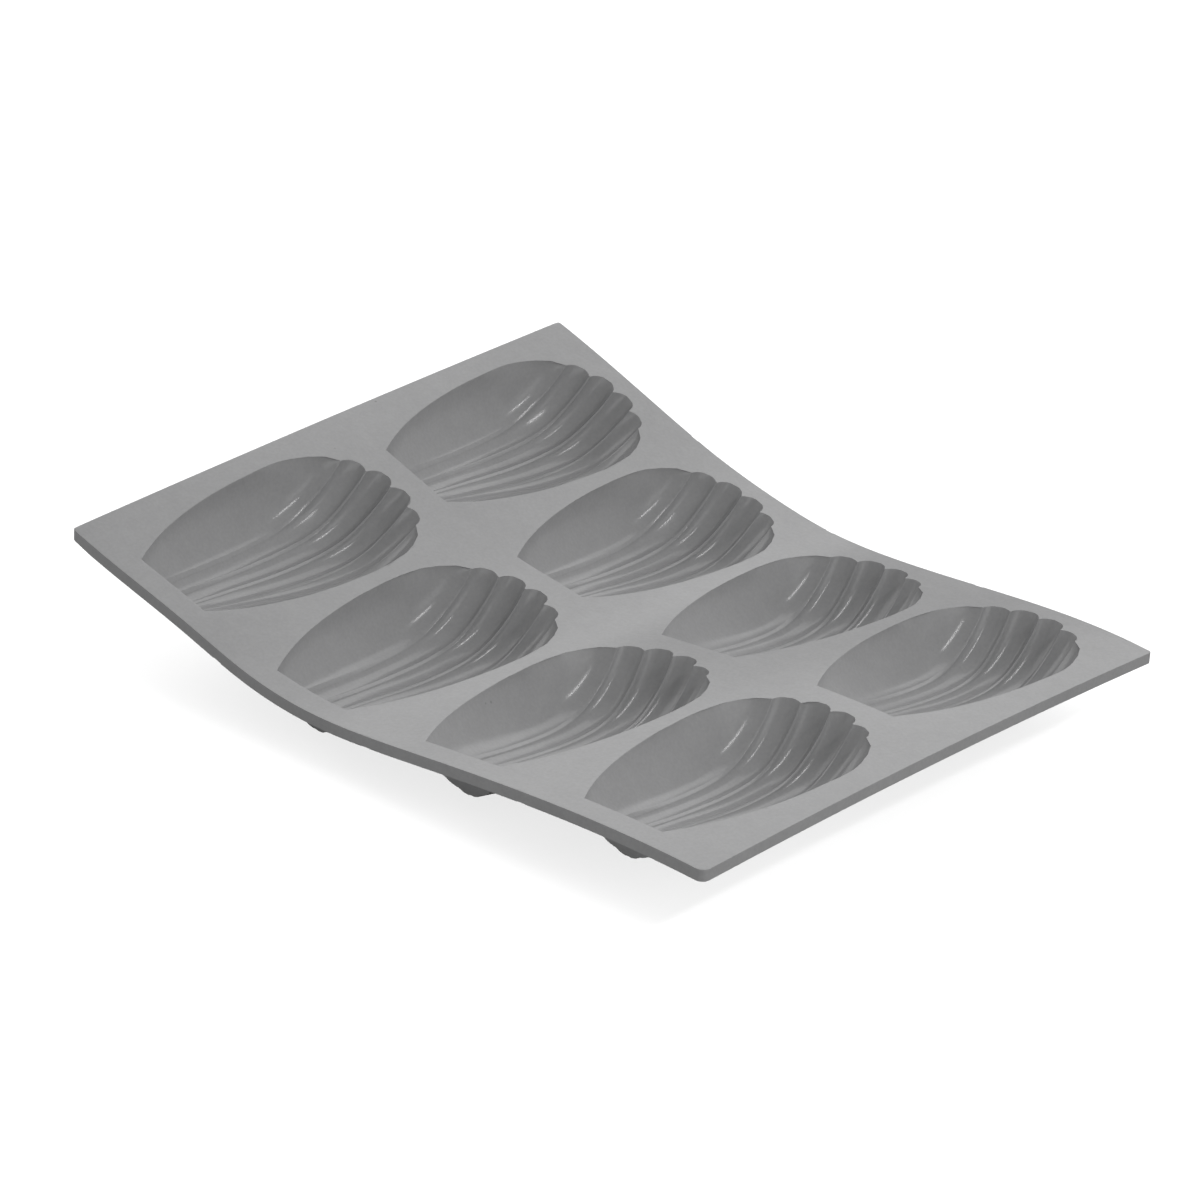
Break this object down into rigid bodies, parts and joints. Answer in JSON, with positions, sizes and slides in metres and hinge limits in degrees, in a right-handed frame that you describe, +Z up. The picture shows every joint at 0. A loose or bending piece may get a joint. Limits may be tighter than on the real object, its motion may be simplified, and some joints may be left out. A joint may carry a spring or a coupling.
{
  "type": "madeleine mould",
  "caption": "Flexible foam-silicone baking mould with fluted shell-shaped cups in a thin flat sheet, lying gently flexed.",
  "frame": {"origin": "under the middle of the sheet, on the surface that the mould rests on", "axes": "+X along the sheet from the lifted end, +Y towards the fluted ends of the cups, +Z up"},
  "size_m": [0.2087, 0.176, 0.0477],
  "materials": {
    "mould_foam": "satin matt foam silicone, mid grey"
  },
  "bodies": {
    "row_1": {"deck_row_1": "mould_foam", "cup_1_near": "mould_foam", "cup_1_far": "mould_foam"},
    "row_2": {"deck_row_2": "mould_foam", "cup_2_near": "mould_foam", "cup_2_far": "mould_foam", "web_1": "mould_foam"},
    "row_3": {"deck_row_3": "mould_foam", "cup_3_near": "mould_foam", "cup_3_far": "mould_foam", "web_2": "mould_foam", "web_3": "mould_foam"},
    "row_4": {"deck_row_4": "mould_foam", "cup_4_near": "mould_foam", "cup_4_far": "mould_foam"}
  },
  "joints": [
    {"name": "web_3_fold", "type": "hinge", "parent": "row_3", "child": "row_4", "pos_m": [0.04957, 0, 0.01847], "axis": [0.005, 1, 0.0008], "range_deg": [-45, 36], "stiffness_Nm_per_rad": 0.6, "deforming": ["web_3"]},
    {"name": "web_2_fold", "type": "hinge", "parent": "row_3", "child": "row_2", "pos_m": [-0.00029, 0, 0.01519], "axis": [-0.0086, -0.9998, -0.019], "range_deg": [-45, 36], "stiffness_Nm_per_rad": 0.6, "deforming": ["web_2"]},
    {"name": "web_1_fold", "type": "hinge", "parent": "row_2", "child": "row_1", "pos_m": [-0.04956, 0, 0.02319], "axis": [-0.0182, -0.9981, -0.058], "range_deg": [-45, 36], "stiffness_Nm_per_rad": 0.6, "deforming": ["web_1"]}
  ]
}
